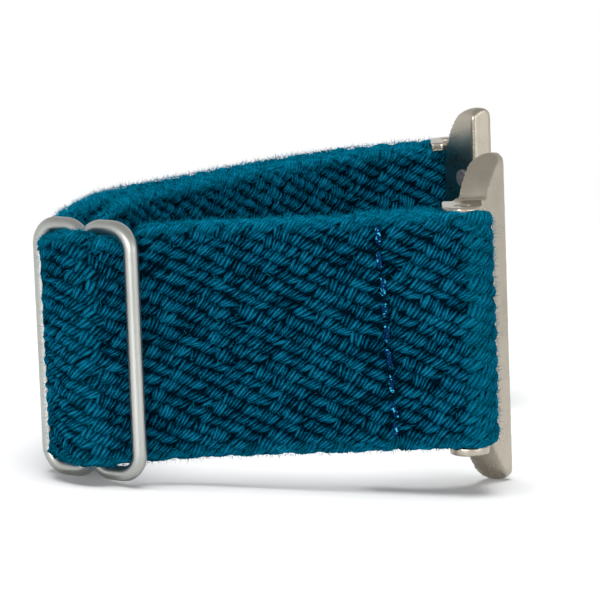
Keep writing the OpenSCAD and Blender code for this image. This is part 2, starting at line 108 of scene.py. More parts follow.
# The core under the yarn, the skin that holds the fibres, and the room that the cloth leaves the ears
CORE_STEP, CORE_AROUND, CORE_SINK, SKIN_SINK = 0.5, 60, 0.32, 0.05
CORE_SPARE, PLY_SPARE = 0.3, 0.1

# Loose fibres are densest at the strap's edges and where it bends, and denser on top than below
MOST_FIBRES, FIBRE_SEED, FIBRE_LEAN, FIBRE_TURN, FIBRE_SIZES = 42000, 20, 1.25, 6.28, (0.45, 1.25)
RIM_W, RIM_POWER, BEND_FULL, BEND_FREE, BEND_SHARE, SLIDE_SHARE = 1.5, 1.5, 0.35, 0.2, 0.6, 0.3
FRAY_LEAST, FRAY_LOW, FRAY_RISE, FRAY_POWER = 0.03, 0.3, 1.5, 1.3

# How loose the surface is along the strap, as section, share of its length and amount
LOOSE = (("outer_flex", 0.0, 0.0), ("outer_flex", 0.2, 0.45), ("outer_flex", 1.0, 0.35),
         ("far_knee", 0.35, 0.12), ("far_knee", 1.0, 0.0), ("far_lining", 0.0, 0.0), ("far_lining", 1.0, 0.12),
         ("inner_flex", 0.3, 0.3), ("sewn_end", 0.0, 0.3), ("sewn_end", 1.0, 0.2))

# The seams: how wide a seam draws the cloth in, how far from its layers, and how its stitches stray
SEAM_SPREAD, SEAM_SEED, DIMPLE_W, HEM_ROOM, END_ROOM, NO_SEAM = 1.13, 3, 0.5, 1, 2.5, 9.0
STITCH_JOG, STITCH_SHIFT, STITCH_SINK, STITCH_TILT = 0.08, 0.05, (0.15, 0.52), 0.06
STITCH_LONG, STITCH_HIGH = (0.95, 0.08), (1, 0.12)

# The two strands of a stitch: how far they wind about each other, how thick they are, how high they rise
STRAND_SWAY, STRAND_R, STITCH_RISE, STRAND_STEPS, STRAND_SIDES = 0.25, 0.29, 1.8, 14, 7

# The gap under which a CAD copy's points join, how its castings are smoothed, and each tip's share of a spring
WELD, CAST_FACTOR, CAST_PASSES, TIP_SHARES = 0.002, 0.5, 3, {"upper": 0.48, "lower": 0.52}

# The CAD node that each section of the cloth stands for, and the body that it rides on or the two bodies that
# it spans
SECTIONS = {
    "near_hem": ("strap_near_run", "strap"), "near_run": ("strap_near_run", "strap"),
    "near_flex": ("strap_near_flex", ("strap", "slide")), "over_slide": ("strap_over_slide", "slide"),
    "outer_flex": ("strap_outer_flex", ("slide", "strap")), "far_knee": ("strap_far_run", "strap"),
    "far_shoulder": ("strap_far_run", "strap"), "far_return": ("strap_far_run", "strap"),
    "far_lining": ("strap_far_run", "strap"), "inner_flex": ("strap_inner_flex", ("strap", "slide")),
    "sewn_end": ("strap_sewn_end", "slide"),
}

# The floor's half size, and how plain white it is: from near to far, from least to most
FLOOR_HALF, FLOOR_WHITE = 3.0, (0.08, 0.22, 0.1, 1.0)

# The room's light by direction and the dome that metal mirrors by height, each as a range and its strengths
ROOM_AIM, ROOM_LIGHT, ROOM_POWER = (0.1, 0.55, 0.8), (-0.7, 0.7, 0.35, 1.0), 0.36
ROOM_COLOUR, DOME_LIGHT = (0.95, 0.97, 1.0, 1), (0.1, 0.8, 1.0, 0.6)

# The lamps, each as name, place, width, height and power, and where they point
LAMPS = (("key_lamp", (-0.24, -0.52, 0.08), 0.34, 0.15, 1.3),
         ("fill_lamp", (0.45, -0.40, 0.09), 0.40, 0.17, 0.45),
         ("top_lamp", (-0.03, -0.06, 0.50), 0.34, 0.34, 3.9))
LAMP_AIM = (0, 0, 0.015)

# The camera's sensor, the picture's width in pixels and the depth that shows, and how a tree's nodes lie
SENSOR_W, PICTURE_W, CLIP = 36.0, 600.0, (0.01, 20.0)
NODE_STEP, NODE_DROP, NODE_ROWS = 180, 90, 5

JOINTS = {j["name"]: j for j in frame["joints"]}


# Plan geometry

def heading(a):
    return np.array([math.cos(math.radians(a)), math.sin(math.radians(a))])


def left_of(a):
    return np.array([-math.sin(math.radians(a)), math.cos(math.radians(a))])


def eased(t):
    return t * t * (3 - 2 * t)


def bend(a, start, b, end, count=80, share=BEND_PULL):
    """Curve that leaves a at one angle and meets b at another."""
    a, b = np.array(a, float), np.array(b, float)
    pull = np.linalg.norm(b - a) * share
    p, q = a + pull * heading(start), b - pull * heading(end)
    t = np.linspace(0, 1, count)[:, None]
    u = 1 - t
    return a * u**3 + 3 * p * u * u * t + 3 * q * u * t * t + b * t**3


def arc(centre, r, start, end, count=60):
    a = np.radians(np.linspace(start, end, count))
    return np.array(centre) + r * np.stack([np.cos(a), np.sin(a)], 1)


def line(a, b, count=40):
    t = np.linspace(0, 1, count)[:, None]
    return np.array(a, float) * (1 - t) + np.array(b, float) * t


def share_way(a, b, share):
    return np.array([a[0] + (b[0] - a[0]) * share[0], a[1] + (b[1] - a[1]) * share[1]])


def travelled(run):
    """How far along a run each of its points lies."""
    return np.concatenate([[0], np.cumsum(np.linalg.norm(np.diff(run, axis=0), axis=1))])


def plan():
    """The strap's sections in order, each with its runs and its width, thickness and drop at both ends."""
    near, far, centre = np.array(NEAR_BAR), np.array(FAR_BAR), np.array(CENTRE_BAR)
    right = centre + BAR_PITCH * heading(-SLIDE_TURN)
    left = centre - BAR_PITCH * heading(-SLIDE_TURN)
    cross = math.degrees(math.asin((OVER_R + UNDER_R) / BAR_PITCH))
    enter, leave = 180 - SLIDE_TURN + cross, 180 - SLIDE_TURN - cross
    near_y = STRAP_T / 2
    hem_y = near_y + STRAP_T + SEWN_GAP
    hem_flat = np.array([near[0] - SEAM_IN + STITCH_PITCH / 2, hem_y])
    fold = arc(near, FOLD_R, HEM_H + 90, -90)
    half = len(fold) // 2
    pass_in = right - UNDER_R * left_of(enter)
    pass_out = left - UNDER_R * left_of(leave)
    flex = np.array([pass_in[0] + FLEX_L, near_y])
    over = arc(centre, OVER_R, enter + 90, BULGE_FROM)
    pinch = arc(left, UNDER_R, BULGE_TO, leave - 90)
    bulge = bend(over[-1], BULGE_FROM - 90, pinch[0], BULGE_TO + 90, share=BULGE_PULL)
    outer_start = pass_out + PASS_TAIL * heading(leave)
    outer_end = far + FOLD_R * left_of(FAR_H)
    knee = share_way(outer_start, outer_end, KNEE_SHARE)
    shoulder = share_way(outer_start, outer_end, SHOULDER_SHARE)
    rise = bend(outer_start, leave, knee, KNEE_H, RISE_POINTS)
    far_fold = arc(far, FOLD_R, FAR_H + 90, INNER_H - 90)
    inner_start = far - FOLD_R * left_of(INNER_H)
    inner_shoulder = shoulder - (LAYER_STEP + SHOULDER_SLACK) * left_of(SHOULDER_H)
    inner_knee = knee - LAYER_STEP * left_of(KNEE_H)
    join = rise[RISE_POINTS // 2] - (STRAP_T / 2 + END_GAP + WRAP_T / 2) * left_of(END_H)
    edge = join - SEWN_STEP * left_of(END_H) - (np.linalg.norm(join - centre) - END_L) * heading(END_H)
    seam = edge - (END_L - END_SEAM_IN) * heading(END_H)
    flat = seam - STITCH_PITCH / 2 * heading(END_H)
    outer_flat = flat + SEWN_STEP * left_of(END_H)
    wrap_in, wrap_out = centre + WRAP_R * left_of(leave), centre - WRAP_R * left_of(leave)
    shoulder_back, knee_back, end_back = SHOULDER_H + 180, KNEE_H + 180, END_H + 180
    full, drawn, sewn = (STRAP_W, STRAP_T, 0), (DRAWN_W, PASS_T, -SLIDE_DROP), (END_W, WRAP_T, -SLIDE_DROP)
    sections = [
        ("near_hem", [line((near[0] - HEM_L, hem_y), hem_flat), bend(hem_flat, 0, fold[0], HEM_H),
                      fold[:half + 1]], full, full),
        ("near_run", [fold[half:], line(fold[-1], flex)], full, full),
        ("near_flex", [bend(flex, 180, pass_in, enter)], full, drawn),
        ("over_slide", [line(pass_in, over[0]), over, bulge, pinch, line(pinch[-1], outer_start)],
         drawn, drawn),
        ("outer_flex", [rise], drawn, full),
        ("far_knee", [bend(knee, KNEE_H, shoulder, SHOULDER_H)], full, full),
        ("far_shoulder", [bend(shoulder, SHOULDER_H, outer_end, FAR_H), far_fold[:half + 1]], full, full),
        ("far_return", [far_fold[half:], bend(inner_start, INNER_H + 180, inner_shoulder, shoulder_back)],
         full, full),
        ("far_lining", [bend(inner_shoulder, shoulder_back, inner_knee, knee_back)], full, full),
        ("inner_flex", [bend(inner_knee, knee_back, join, end_back)], full, sewn),
        ("sewn_end", [line(join, outer_flat), bend(outer_flat, end_back, wrap_in, leave + 180),
                      arc(centre, WRAP_R, leave + 90, leave + 270), bend(wrap_out, leave, flat, END_H),
                      line(flat, edge)], sewn, sewn),
    ]
    return {"sections": sections, "flex": flex, "pass_in": pass_in, "outer_start": outer_start, "knee": knee,
            "inner_knee": inner_knee, "join": join, "seam": seam}


PLAN = plan()


def level_to_row():
    """The turn and place that stand the level plan on its edge, read from the near hinge."""
    hinge = JOINTS["near_adapter_hinge"]
    up = Vector(hinge["axis"]).normalized()
    turn = np.array(Matrix.Rotation(math.atan2(up.x, up.z), 3, "Y"))
    place = np.array(hinge["pos_m"]) - turn @ (np.array([*NEAR_BAR, -ADAPTER_DROP]) * MM)
    return turn, place


TURN, PLACE = level_to_row()


def row_points(points):
    return np.asarray(points, float) * MM @ TURN.T + PLACE


def row_vectors(vectors):
    return np.asarray(vectors, float) @ TURN.T


class Course:
    """The whole strap as one course, sampled evenly along its length."""

    step = 0.1
    smoothed = 9

    def __init__(self):
        points, size, self.ends, at = [], [], {}, 0.0
        for name, runs, start, end in PLAN["sections"]:
            run = np.concatenate([runs[0]] + [r[1:] for r in runs[1:]])
            gone = travelled(run)
            t = eased((gone / gone[-1])[:, None])
            size.append(np.array(start) * (1 - t) + np.array(end) * t)
            points.append(run)
            self.ends[name] = (at, at + gone[-1])
            at += gone[-1]
        run, size = np.concatenate(points), np.concatenate(size)
        gone = travelled(run)
        keep = np.concatenate([[True], np.diff(gone) > 1e-6])
        run, size, gone = run[keep], size[keep], gone[keep]
        self.length = gone[-1]
        self.s = np.arange(0, self.length + self.step / 2, self.step)
        self.xy = np.stack([np.interp(self.s, gone, run[:, i]) for i in (0, 1)], 1)
        self.size = np.stack([np.interp(self.s, gone, size[:, i]) for i in range(3)], 1)
        self.bloom()
        lead = np.gradient(self.xy, axis=0)
        turn = np.pad(np.unwrap(np.arctan2(lead[:, 1], lead[:, 0])), self.smoothed // 2, "edge")
        self.turn = np.convolve(turn, np.ones(self.smoothed) / self.smoothed, "valid")
        self.curve = np.gradient(self.turn, self.step)

    def bloom(self):
        """Spreads the cloth again off the slide's plane, less where it rolls over the left bar."""
        away = self.xy - CENTRE_BAR
        off, along = away @ left_of(-SLIDE_TURN), away @ heading(-SLIDE_TURN)
        t = eased(np.clip((np.abs(off) - PLANE_HALF) / PLANE_FADE, 0, 1))
        brow = np.clip((BROW_X - self.xy[:, 0]) / BROW_L, 0, 1) ** 2 * (off < 0)
        most = STRAP_W - BROW_IN * brow
        start, end = self.ends["near_flex"][0], self.ends["outer_flex"][1]
        near = (self.s >= start) & (self.s <= end)
        fuller = PLANE_MORE * np.clip((along - PLANE_MORE_FROM) / PLANE_MORE_L, 0, 1)
        least = PLANE_W + fuller
        drop = -(PLANE_DROP + PLANE_SINK * fuller) * (1 - t)
        self.size[near, 0], self.size[near, 2] = (least + (most - least) * t)[near], drop[near]
        self.size[near, 1] -= BROW_FLAT * brow[near]
        self.size[:, 0] += SWELL * np.exp(-((self.s - end) / SWELL_L) ** 2)

    def at(self, s):
        """Width, thickness and drop at s along the strap."""
        return [np.interp(s, self.s, self.size[:, i]) for i in range(3)]

    def surface(self, s, q, sink=0.0):
        """Point, outward normal, both tangents and stretch, at s along the strap and share q round it."""
        s = np.asarray(s, float)
        width, thick, drop = self.at(s)
        r0 = thick / 2
        flat = width - thick
        v = np.mod(q, 1.0) * (2 * flat + 2 * math.pi * r0)
        r = r0 - sink
        a, b, c = flat, flat + math.pi * r0, 2 * flat + math.pi * r0
        top, bottom = (v - a) / r0, (v - c) / r0
        spots = [v < a, v < b, v < c]
        nx = np.select(spots, [np.ones_like(v), np.cos(top), -np.ones_like(v)], -np.cos(bottom))
        nz = np.select(spots, [np.zeros_like(v), np.sin(top), np.zeros_like(v)], -np.sin(bottom))
        cz = np.select(spots, [v - flat / 2, flat / 2 + 0 * v, flat / 2 - (v - b)], -flat / 2 + 0 * v)
        angle = np.interp(s, self.s, self.turn)
        x, y = (np.interp(s, self.s, self.xy[:, i]) for i in (0, 1))
        across = np.stack([-np.sin(angle), np.cos(angle), 0 * angle], -1)
        along = np.stack([np.cos(angle), np.sin(angle), 0 * angle], -1)
        up = np.array([0, 0, 1.0])
        n = nx[..., None] * across + nz[..., None] * up
        g = -nz[..., None] * across + nx[..., None] * up
        out = r * nx
        p = np.stack([x, y, cz + drop], -1) + out[..., None] * across + (r * nz)[..., None] * up
        stretch = 1 - out * np.interp(s, self.s, self.curve)
        return p, n, along, g, stretch


COURSE = Course()


def press_in(p, spare):
    """Points of the cloth, in level millimetres, kept clear of the adapters' ears."""
    p = p.copy()
    for bar, side in ((NEAR_BAR, 1), (FAR_BAR, -1)):
        away = (p[..., :2] - bar) * (1, side)
        under = np.hypot(away[..., 0], away[..., 1]) < EAR_R
        for turn in EAR_TURNS:
            across, out = away @ heading(turn), away @ left_of(turn)
            under |= (np.abs(across) < EAR_R) & (out > 0) & (out < EAR_REACH)
        p[..., 2] = np.where(under, np.clip(p[..., 2], EAR_LOW + spare, EAR_HIGH - spare), p[..., 2])
    return p


# Meshes and node trees

def new_object(name, mesh):
    obj = bpy.data.objects.new(name, mesh)
    bpy.context.scene.collection.objects.link(obj)
    return obj


def make_mesh(name, points, faces):
    mesh = bpy.data.meshes.new(name)
    mesh.from_pydata([tuple(p) for p in points], [], [tuple(f) for f in faces])
    mesh.validate()
    mesh.shade_smooth()
    return mesh


def finished(obj):
    """The mesh that an object's modifiers give, which are then removed."""
    graph = bpy.context.evaluated_depsgraph_get()
    mesh = bpy.data.meshes.new_from_object(obj.evaluated_get(graph), preserve_all_data_layers=True,
                                           depsgraph=graph)
    obj.modifiers.clear()
    return mesh


def put_attribute(mesh, name, kind, values):
    layer = mesh.attributes.new(name, kind, "POINT")
    field = "vector" if kind == "FLOAT_VECTOR" else "value"
    layer.data.foreach_set(field, np.ascontiguousarray(values, np.float32).ravel())


class Wiring:
    """A node tree under construction."""

    def __init__(self, tree):
        self.tree = tree

    def join(self, value, socket):
        """Sets a socket to a value, or links it to another socket or to a node's first output."""
        if isinstance(value, bpy.types.Node):
            value = value.outputs[0]
        if isinstance(value, bpy.types.NodeSocket):
            self.tree.links.new(value, socket)
        else:
            socket.default_value = value

    def add(self, kind, settings=None, **links):
        """A node with its settings, and with its inputs given by name."""
        node = self.tree.nodes.new(kind)
        place = len(self.tree.nodes)
        node.location = (NODE_STEP * place, -NODE_DROP * (place % NODE_ROWS))
        for key, value in (settings or {}).items():
            setattr(node, key, value)
        for key, value in links.items():
            label = key.replace("_", " ").lower()
            self.join(value, next(x for x in node.inputs if x.enabled and x.name.lower() == label))
        return node

    def feed(self, kind, settings, *values):
        """A node with its inputs given in order."""
        node = self.add(kind, settings)
        for value, socket in zip(values, node.inputs):
            self.join(value, socket)
        return node

    def math(self, operation, a, b=0.0, clamp=False):
        return self.feed("ShaderNodeMath", {"operation": operation, "use_clamp": clamp}, a, b)

    def plus(self, a, b):
        return self.math("ADD", a, b)

    def minus(self, a, b):
        return self.math("SUBTRACT", a, b)

    def times(self, a, b):
        return self.math("MULTIPLY", a, b)

    def most(self, a, b):
        return self.math("MAXIMUM", a, b)

    def power(self, a, b):
        return self.math("POWER", a, b)

    def remap(self, value, low, high, least, most):
        return self.feed("ShaderNodeMapRange", {}, value, low, high, least, most)


class Tree(Wiring):
    """A geometry node tree with named inputs."""

    def __init__(self, name, inputs):
        super().__init__(bpy.data.node_groups.new(name, "GeometryNodeTree"))
        face = self.tree.interface
        face.new_socket("Geometry", in_out="INPUT", socket_type="NodeSocketGeometry")
        for label, kind, value in inputs:
            socket = face.new_socket(label, in_out="INPUT", socket_type=f"NodeSocket{kind}")
            if value is not None:
                socket.default_value = value
        face.new_socket("Geometry", in_out="OUTPUT", socket_type="NodeSocketGeometry")
        self.given = self.tree.nodes.new("NodeGroupInput").outputs
        self.end = self.tree.nodes.new("NodeGroupOutput")

    def vector(self, x=0.0, y=0.0, z=0.0):
        return self.feed("ShaderNodeCombineXYZ", {}, x, y, z)

    def upward(self, kind):
        """The Z of what an input node reads."""
        return self.feed("ShaderNodeSeparateXYZ", {}, self.add(kind)).outputs["Z"]

    def named(self, label, kind="FLOAT_VECTOR"):
        return self.add("GeometryNodeInputNamedAttribute", {"data_type": kind}, Name=label)

    def store(self, geometry, label, value, domain="POINT"):
        return self.add("GeometryNodeStoreNamedAttribute", {"data_type": "FLOAT", "domain": domain},
                        Geometry=geometry, Name=label, Value=value)

    def random(self, low, high, offset=0):
        seed = self.plus(self.given["Seed"], float(offset))
        return self.add("FunctionNodeRandomValue", {"data_type": "FLOAT"},
                        Min=low, Max=high, Seed=seed).outputs["Value"]

    def arch(self, length, low, top, steps):
        """A curve along Y that rises from low at both ends."""
        half = self.times(length, 0.5)
        start, end = self.vector(0.0, self.times(half, -1.0), low), self.vector(0.0, half, low)
        return self.add("GeometryNodeCurveQuadraticBezier", Resolution=steps, Start=start,
                        Middle=self.vector(0.0, 0.0, top), End=end)

    def tube(self, curve, radius, sides):
        ring = self.add("GeometryNodeCurvePrimitiveCircle", {"mode": "RADIUS"}, Resolution=sides, Radius=radius)
        return self.add("GeometryNodeCurveToMesh", Curve=curve, Profile_Curve=ring, Fill_Caps=True)

    def lay(self, points, shape):
        """The shape on every point, turned and sized by the point's own attributes."""
        turned = self.add("FunctionNodeAxesToRotation", {"primary_axis": "Z", "secondary_axis": "Y"},
                          Primary_Axis=self.named("out"), Secondary_Axis=self.named("along"))
        return self.add("GeometryNodeInstanceOnPoints", Points=points, Instance=shape, Rotation=turned,
                        Scale=self.named("size"))

    def real(self, geometry):
        return self.add("GeometryNodeRealizeInstances", Geometry=geometry)

    def smooth(self, geometry):
        return self.add("GeometryNodeSetShadeSmooth", Geometry=geometry)

    def coat(self, geometry, material):
        return self.add("GeometryNodeSetMaterial", Geometry=geometry, Material=self.given[material])

    def finish(self, geometry):
        self.join(geometry, self.end.inputs[0])
        return self.tree


def bake(name, base, tree, values):
    """Runs a node tree on a mesh and gives its result as a plain mesh object."""
    holder = new_object(name + "_holder", base)
    modifier = holder.modifiers.new("Nodes", "NODES")
    modifier.node_group = tree
    for item in tree.interface.items_tree:
        if item.in_out == "INPUT" and item.name in values:
            modifier[item.identifier] = values[item.name]
    mesh = finished(holder)
    bpy.data.objects.remove(holder)
    if not len(mesh.polygons):
        raise RuntimeError(f"{name} came out empty")
    mesh.name = name
    return new_object(name, mesh)


def ply_tree():
    """One arched ply of yarn on each site, over the strap's own core."""
    t = Tree("Braided plies", [
        ("Sites", "Object", None), ("Ply Length", "Float", 1.7 * MM), ("Ply Width", "Float", 0.46 * MM),
        ("Rise", "Float", 0.4 * MM), ("Tuck", "Float", 0.2 * MM), ("Yarn", "Material", None),
        ("Seed", "Int", 3)])
    low = t.times(t.given["Tuck"], -1.0)
    top = t.minus(t.times(t.given["Rise"], 2.0), low)
    arch = t.arch(t.given["Ply Length"], low, top, PLY_STEPS)
    share = t.add("GeometryNodeSplineParameter").outputs["Factor"]
    swell = t.power(t.math("SINE", t.times(share, math.pi)), PLY_FULL)
    arch = t.add("GeometryNodeSetCurveRadius", Curve=arch, Radius=t.plus(t.times(swell, PLY_BELLY), PLY_TIP))
    half_width = t.times(t.given["Ply Width"], 0.5)
    ply = t.tube(arch, half_width, PLY_SIDES)
    reach = t.plus(t.given["Rise"], half_width)
    # The ply's height above its tucked ends is kept so that the yarn paint can darken it low down as painted
    # shade and lighten its crest as a painted highlight
    crest = t.math("DIVIDE", t.minus(t.upward("GeometryNodeInputPosition"), low), t.minus(reach, low))
    # How far the ply's surface faces up is kept so that the yarn paint can lighten its upward faces as a
    # painted highlight from above
    ply = t.store(t.store(ply, "crest", crest), "ridge", t.upward("GeometryNodeInputNormal"))
    sites = t.add("GeometryNodeObjectInfo", {"transform_space": "ORIGINAL"}, Object=t.given["Sites"])
    laid = t.store(t.lay(sites.outputs["Geometry"], ply), "shade", t.random(0.0, 1.0), "INSTANCE")
    both = t.add("GeometryNodeJoinGeometry")
    for part in (t.coat(laid, "Yarn"), t.given["Geometry"]):
        t.join(part, both.inputs[0])
    return t.finish(t.smooth(t.real(both)))


def fibre_tree():
    """Fine loose fibres that stand out of the cloth."""
    t = Tree("Loose fibres", [
        ("Density", "Float", 2.0e6), ("Length", "Float", 0.55 * MM), ("Radius", "Float", 0.026 * MM),
        ("Curl", "Float", 0.28 * MM), ("Fibre", "Material", None), ("Seed", "Int", 11)])
    spread = t.times(t.given["Density"], t.named("fray", "FLOAT"))
    dots = t.add("GeometryNodeDistributePointsOnFaces", {"distribute_method": "RANDOM"},
                 Mesh=t.given["Geometry"], Density=spread, Seed=t.given["Seed"])
    spike = t.add("GeometryNodeMeshCone", {"fill_type": "NGON"}, Vertices=3, Side_Segments=2,
                  Radius_Top=0.0, Radius_Bottom=t.given["Radius"], Depth=t.given["Length"])
    share = t.math("DIVIDE", t.upward("GeometryNodeInputPosition"), t.given["Length"])
    curl = t.given["Curl"]
    sway = t.vector(t.times(curl, t.times(share, share)), t.times(t.times(curl, 0.5), share))
    hair = t.add("GeometryNodeSetPosition", Geometry=spike.outputs["Mesh"], Offset=sway)
    lean = t.vector(*(t.random(-FIBRE_LEAN, FIBRE_LEAN, k) for k in (1, 2)), t.random(0.0, FIBRE_TURN, 3))
    turned = t.add("FunctionNodeRotateRotation", {"rotation_space": "LOCAL"}, Rotation=dots.outputs["Rotation"],
                   Rotate_By=t.add("FunctionNodeEulerToRotation", Euler=lean))
    laid = t.add("GeometryNodeInstanceOnPoints", Points=dots.outputs["Points"], Instance=hair,
                 Rotation=turned, Scale=t.random(*FIBRE_SIZES, 4))
    return t.finish(t.coat(t.real(laid), "Fibre"))


def stitch_tree():
    """Short lengths of twisted thread that dip into the cloth at both ends."""
    t = Tree("Seam stitches", [
        ("Stitch Length", "Float", 1.7 * MM), ("Thread", "Float", 0.6 * MM), ("Arch", "Float", 0.24 * MM),
        ("Twists", "Float", 3.0), ("Cotton", "Material", None)])
    low, top = t.times(t.given["Arch"], -1.0), t.times(t.given["Arch"], STITCH_RISE)
    arch = t.arch(t.given["Stitch Length"], low, top, STRAND_STEPS)
    turns = t.times(t.given["Twists"], 2 * math.pi)
    share = t.add("GeometryNodeSplineParameter").outputs["Factor"]
    sway, radius = t.times(t.given["Thread"], STRAND_SWAY), t.times(t.given["Thread"], STRAND_R)
    strands = t.add("GeometryNodeJoinGeometry")
    for phase in (0.0, math.pi):
        angle = t.plus(t.times(share, turns), phase)
        offset = t.vector(t.times(sway, t.math("COSINE", angle)), 0.0, t.times(sway, t.math("SINE", angle)))
        moved = t.add("GeometryNodeSetPosition", Geometry=arch, Offset=offset)
        t.join(t.tube(moved, radius, STRAND_SIDES), strands.inputs[0])
    laid = t.lay(t.given["Geometry"], strands)
    return t.finish(t.coat(t.smooth(t.real(laid)), "Cotton"))


# Materials

class Paint(Wiring):
    """A procedural material under construction."""

    def __init__(self, name, **sockets):
        self.material = bpy.data.materials.new(name)
        self.material.use_nodes = True
        super().__init__(self.material.node_tree)
        self.tree.nodes.clear()
        self.shader = self.add("ShaderNodeBsdfPrincipled", **sockets)
        self.end = self.add("ShaderNodeOutputMaterial", Surface=self.shader)

    def attribute(self, label):
        return self.add("ShaderNodeAttribute", {"attribute_name": label}).outputs["Fac"]

    def position(self, scale=(1, 1, 1), turn=(0, 0, 0)):
        where = self.add("ShaderNodeTexCoord").outputs["Object"]
        return self.add("ShaderNodeMapping", Vector=where, Rotation=turn, Scale=scale)

    def noise(self, scale, detail=2.0, rough=0.5, vector=None):
        return self.add("ShaderNodeTexNoise", Vector=vector or self.position(), Scale=scale,
                        Detail=detail, Roughness=rough)

    def ramp(self, value, stops):
        node = self.feed("ShaderNodeValToRGB", {}, value)
        band = node.color_ramp
        while len(band.elements) < len(stops):
            band.elements.new(0.5)
        for element, (place, colour) in zip(band.elements, stops):
            element.position, element.color = place, (*colour, 1)
        return node

    def colour(self, value):
        self.join(value, self.shader.inputs["Base Color"])

    def mottle(self, grain, dark, light, light_at=0.7):
        """Colour from dark to light by the grain."""
        self.colour(self.ramp(grain, [(0.3, dark), (light_at, light)]))

    def rough(self, value, low, high):
        self.join(self.remap(value, 0.0, 1.0, low, high), self.shader.inputs["Roughness"])

    def bump(self, value, distance, strength=1.0):
        bumped = self.add("ShaderNodeBump", Strength=strength, Distance=distance, Height=value)
        self.join(bumped, self.shader.inputs["Normal"])


def yarn_paint(look):
    p = Paint("Cotton yarn", Roughness=0.9, Specular_IOR_Level=0.0)
    patch = p.noise(700)
    hairs = p.noise(5200, 3.0, 0.7, p.position(turn=(0.3, 0.2, 0.7)))
    # Painted shade and highlight: the yarn is darkest low between the plies and lightest on its crests and on
    # the faces that point up
    crest = p.power(p.most(p.attribute("crest"), 0.0), 1.6)
    ridge = p.power(p.most(p.attribute("ridge"), 0.0), 2.2)
    tone = p.plus(p.times(crest, 0.5), p.times(p.times(crest, ridge), 0.55))
    for value, amount in ((patch, 0.6), (hairs, 1.5), (p.attribute("shade"), 0.5), (p.attribute("cell"), 0.2)):
        tone = p.plus(tone, p.times(p.minus(value, 0.5), amount))
    # Painted shade: the yarn is darker where a seam draws it in
    tone = p.minus(tone, p.times(p.attribute("dimple_and_shade"), 0.45))
    braid = p.ramp(tone, [(0.12, look.crevice_shade_colour), (0.55, look.yarn_colour), (1.0, look.crest_highlight_colour)])
    fluff = p.math("ADD", p.times(hairs, 0.8), 0.25, clamp=True)
    veil = p.math("MULTIPLY", p.attribute("soft"), fluff, clamp=True)
    mix = p.add("ShaderNodeMix", {"data_type": "RGBA"}, Factor=veil, A=braid, B=(*look.fibre_colour, 1))
    p.colour(mix.outputs[2])
    p.bump(hairs, 0.06 * MM, 0.7)
    return p.material


def core_shade_paint(look):
    # The core is painted nearly black, as painted shade in the gaps between the plies
    p = Paint("Cotton core", Roughness=0.95, Specular_IOR_Level=0.0)
    grain = p.noise(2600, 3.0, 0.7)
    p.mottle(grain, (0.0, 0.006, 0.012), look.crevice_shade_colour)
    p.bump(grain, 0.08 * MM, 0.7)
    return p.material


def fibre_paint(look):
    p = Paint("Cotton fibre", Roughness=0.9, Specular_IOR_Level=0.0)
    base = np.array(look.fibre_colour)
    p.mottle(p.noise(600, 1.0), base * 0.8, base * 1.25)
    return p.material


def thread_paint(look):
    p = Paint("Seam thread", Specular_IOR_Level=0.05)
    base = np.array(look.thread_colour)
    # Painted glints: the brightest flecks of the thread take the glint colour in place of highlights
    glints = p.noise(3600, 1.0, vector=p.position(turn=(0.5, 0.3, 0.1)))
    tone = p.plus(p.times(p.noise(1500), 0.3), p.times(glints, 0.7))
    p.colour(p.ramp(tone, [(0.35, base * 0.4), (0.56, base), (0.62, look.painted_glint_colour)]))
    p.rough(p.noise(4000), 0.12, 0.3)
    p.bump(p.noise(6500), 0.05 * MM)
    return p.material


def satin_paint(metal):
    p = Paint("Satin steel", Metallic=1.0)
    base = np.array(metal.slide_colour)
    brushed = p.noise(90, 3.0, 0.6, p.position((60, 60, 4)))
    p.mottle(p.noise(160, 3.0), base * 0.9, base)
    p.rough(brushed, 0.3, 0.46)
    p.bump(p.plus(brushed, p.times(p.noise(5200), 0.4)), 0.012 * MM, 0.5)
    return p.material


def polished_paint(metal):
    p = Paint("Polished steel", Metallic=1.0)
    base = np.array(metal.adapter_colour)
    reflection_patches = p.noise(320, 4.0, 0.6, p.position(turn=(0.4, 0.2, 0.9)))
    # Painted reflection: large patches a little darker in colour stand in for the reflection of darker
    # surroundings; the same patches vary the roughness and bump
    p.mottle(reflection_patches, base * 0.86, base, 0.65)
    p.rough(reflection_patches, 0.2, 0.36)
    p.bump(p.plus(reflection_patches, p.times(p.noise(7000), 0.3)), 0.006 * MM, 0.4)
    return p.material


def spring_paint():
    p = Paint("Spring steel", Metallic=1.0)
    drawn = p.noise(400, vector=p.position((3, 3, 30)))
    p.mottle(drawn, (0.42, 0.42, 0.43), (0.62, 0.62, 0.62))
    p.rough(drawn, 0.22, 0.36)
    return p.material


def shaded_bar_paint():
    p = Paint("Turned steel", Metallic=1.0)
    # The spring bars and their tips are painted dark, as painted shade where they sit in the ears' holes and
    # inside the strap's fold; the rings are the turning's grain
    rings = p.noise(900, vector=p.position((2, 2, 60)))
    p.mottle(rings, (0.20, 0.18, 0.15), (0.34, 0.31, 0.26))
    p.rough(rings, 0.18, 0.34)
    p.bump(rings, 0.004 * MM, 0.4)
    return p.material


def pad_paint():
    p = Paint("Grey silicone", Roughness=0.6, Specular_IOR_Level=0.4)
    grain = p.noise(3000, 3.0)
    p.mottle(grain, (0.08, 0.085, 0.09), (0.12, 0.125, 0.13))
    p.rough(grain, 0.5, 0.7)
    p.bump(grain, 0.02 * MM, 0.4)
    return p.material


# Copies of CAD nodes

def merged(node, name, material):
    """A copy of a node with its loose triangles joined."""
    mesh = frame["nodes"][node].data.copy()
    shape = bmesh.new()
    shape.from_mesh(mesh)
    bmesh.ops.remove_doubles(shape, verts=shape.verts, dist=WELD * MM)
    shape.to_mesh(mesh)
    shape.free()
    mesh.materials.clear()
    mesh.materials.append(material)
    return new_object(name, mesh)


